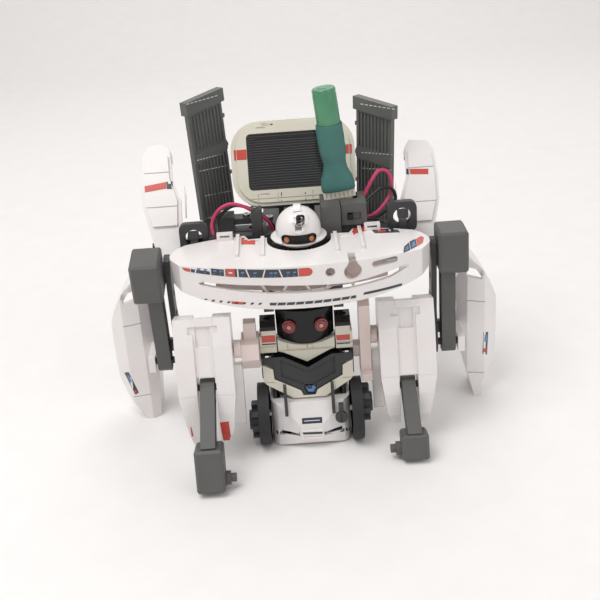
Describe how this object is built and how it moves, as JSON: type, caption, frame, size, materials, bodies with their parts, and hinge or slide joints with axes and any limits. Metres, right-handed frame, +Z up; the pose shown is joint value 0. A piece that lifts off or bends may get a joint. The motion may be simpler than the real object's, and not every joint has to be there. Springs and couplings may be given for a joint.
{
  "type": "solar robot kit",
  "caption": "Desktop solar robot kit: bowed hull on a wheeled cab with hinged legs, wings, tilting solar panel and plug-in battery.",
  "frame": {"origin": "centre of the footprint on the floor", "axes": "+Z up, -Y the way the robot faces, +X to the robot's left hand (right in a front view)"},
  "size_m": [0.182, 0.1174, 0.1509],
  "materials": {
    "white_plastic": "smooth moulded",
    "cream_plastic": "smooth moulded",
    "pink_white_plastic": "smooth moulded",
    "dark_plastic": "satin moulded",
    "black_plastic": "smooth moulded",
    "red_lens": "glossy",
    "steel": "drawn",
    "brass": "hobbed",
    "nylon": "moulded gear",
    "solar_glass": "glossy resin over a dark cell",
    "green_wrap": "shrink wrap",
    "teal_wrap": "heat-shrink tube",
    "red_wire": "insulation",
    "black_wire": "insulation",
    "copper_eye": "glossy",
    "grey_plastic": "satin moulded"
  },
  "bodies": {
    "chassis": {"nose_shell": "white_plastic", "armor_plate": "cream_plastic", "v_panel": "dark_plastic", "chin_plate": "cream_plastic", "visor": "black_plastic", "eye_lenses": "red_lens", "shoulder_columns": "cream_plastic", "shoulder_caps": "black_plastic", "nose_bars": "dark_plastic", "gearbox_frame": "dark_plastic", "rear_cover": "white_plastic", "motor": "steel", "neck_post": "dark_plastic", "hull_shell": "white_plastic", "hull_ribs": "pink_white_plastic", "deck_frame": "dark_plastic", "end_clip_left": "dark_plastic", "end_clip_right": "dark_plastic", "solar_mount": "dark_plastic", "battery_socket": "dark_plastic", "hip_bracket_left": "pink_white_plastic", "hip_bracket_right": "pink_white_plastic", "fasteners": "steel", "wire_red_left": "red_wire", "wire_black_left": "black_wire", "wire_red_right": "red_wire", "wire_black_right": "black_wire"},
    "nose_dial": {"nose_dial": "dark_plastic"},
    "drive_axle": {"axle": "steel", "axle_gear": "nylon", "wheel_left": "black_plastic", "wheel_right": "black_plastic", "crank_left": "dark_plastic", "crank_right": "dark_plastic"},
    "idler": {"idler_gear": "nylon"},
    "motor_shaft": {"motor_pinion": "brass"},
    "head": {"helmet": "white_plastic", "helmet_visor": "black_plastic", "helmet_eyes": "copper_eye"},
    "solar_unit": {"solar_back": "dark_plastic", "solar_bezel": "cream_plastic", "solar_cell": "solar_glass"},
    "wing_left": {"wing_left": "dark_plastic"},
    "wing_right": {"wing_right": "dark_plastic"},
    "battery": {"battery_plug": "cream_plastic", "battery_sleeve": "teal_wrap", "battery_cell": "green_wrap"},
    "switch": {"switch_slider": "black_plastic"},
    "front_leg_left": {"front_leg_left": "white_plastic"},
    "front_leg_right": {"front_leg_right": "white_plastic"},
    "foot_left": {"foot_strut_left": "grey_plastic"},
    "foot_right": {"foot_strut_right": "grey_plastic"},
    "upper_arm_left": {"upper_arm_left": "white_plastic"},
    "upper_arm_right": {"upper_arm_right": "white_plastic"},
    "rear_leg_left": {"rear_link_left": "dark_plastic", "rear_shell_left": "white_plastic"},
    "rear_leg_right": {"rear_link_right": "dark_plastic", "rear_shell_right": "white_plastic"},
    "side_hammer_left": {"side_hammer_left": "grey_plastic"},
    "side_hammer_right": {"side_hammer_right": "grey_plastic"}
  },
  "joints": [
    {"name": "axle_spin", "type": "hinge", "parent": "chassis", "child": "drive_axle", "pos_m": [0, -0.0159, 0.014], "axis": [1, 0, 0], "continuous": true},
    {"name": "idler_spin", "type": "hinge", "parent": "chassis", "child": "idler", "pos_m": [0.012, -0.00821, 0.01621], "axis": [1, 0, 0], "continuous": true},
    {"name": "motor_spin", "type": "hinge", "parent": "chassis", "child": "motor_shaft", "pos_m": [0, -0.00121, 0.01233], "axis": [1, 0, 0], "continuous": true},
    {"name": "dial_turn", "type": "hinge", "parent": "chassis", "child": "nose_dial", "pos_m": [0.0133, -0.0253, 0.0156], "axis": [0, 1, 0], "range_deg": [-20, 30]},
    {"name": "head_swivel", "type": "hinge", "parent": "chassis", "child": "head", "pos_m": [0, 0.0021, 0.09], "axis": [0, 0, 1], "range_deg": [-45, 45]},
    {"name": "solar_tilt", "type": "hinge", "parent": "chassis", "child": "solar_unit", "pos_m": [0, 0.0501, 0.1034], "axis": [1, 0, 0], "range_deg": [-8, 11]},
    {"name": "wing_left_turn", "type": "hinge", "parent": "chassis", "child": "wing_left", "pos_m": [-0.0375, 0.0486, 0.087], "axis": [0, 0, 1], "range_deg": [-6, 34]},
    {"name": "wing_right_turn", "type": "hinge", "parent": "chassis", "child": "wing_right", "pos_m": [0.037, 0.0486, 0.079], "axis": [0, 0, 1], "range_deg": [-34, 6]},
    {"name": "battery_pull", "type": "slide", "parent": "chassis", "child": "battery", "axis": [-0.0958, 0, 0.9954], "range_m": [0, 0.008]},
    {"name": "switch_slide", "type": "slide", "parent": "chassis", "child": "switch", "axis": [1, 0, 0], "range_m": [0, 0.003]},
    {"name": "front_hip_left", "type": "hinge", "parent": "chassis", "child": "front_leg_left", "pos_m": [-0.044, -0.017, 0.0481], "axis": [1, 0, 0], "range_deg": [-20, 8]},
    {"name": "front_hip_right", "type": "hinge", "parent": "chassis", "child": "front_leg_right", "pos_m": [0.044, -0.0077, 0.046], "axis": [1, 0, 0], "range_deg": [-20, 8]},
    {"name": "knee_left", "type": "hinge", "parent": "front_leg_left", "child": "foot_left", "pos_m": [-0.044, -0.02523, 0.03478], "axis": [1, 0, 0], "range_deg": [-40, 1]},
    {"name": "knee_right", "type": "hinge", "parent": "front_leg_right", "child": "foot_right", "pos_m": [0.044, -0.01751, 0.02482], "axis": [1, 0, 0], "range_deg": [-30, 18]},
    {"name": "upper_arm_left_hinge", "type": "hinge", "parent": "chassis", "child": "upper_arm_left", "pos_m": [-0.059, 0.0195, 0.084], "axis": [1, 0, 0], "range_deg": [-20, 10]},
    {"name": "upper_arm_right_hinge", "type": "hinge", "parent": "chassis", "child": "upper_arm_right", "pos_m": [0.0546, 0.0197, 0.078], "axis": [1, 0, 0], "range_deg": [-20, 10]},
    {"name": "rear_leg_left_hinge", "type": "hinge", "parent": "chassis", "child": "rear_leg_left", "pos_m": [-0.058, 0.0021, 0.082], "axis": [1, 0, 0], "range_deg": [-8, 12]},
    {"name": "rear_leg_right_hinge", "type": "hinge", "parent": "chassis", "child": "rear_leg_right", "pos_m": [0.058, 0.0021, 0.082], "axis": [1, 0, 0], "range_deg": [-8, 12]},
    {"name": "side_hammer_left_hinge", "type": "hinge", "parent": "rear_leg_left", "child": "side_hammer_left", "pos_m": [-0.064, 0.0001, 0.036], "axis": [1, 0, 0], "range_deg": [-3, 40]},
    {"name": "side_hammer_right_hinge", "type": "hinge", "parent": "rear_leg_right", "child": "side_hammer_right", "pos_m": [0.064, 0.0001, 0.036], "axis": [1, 0, 0], "range_deg": [0, 40]}
  ],
  "couplings": [
    {"joint": "idler_spin", "follows": "axle_spin", "ratio": -1.6667},
    {"joint": "motor_spin", "follows": "axle_spin", "ratio": 3.6667}
  ]
}
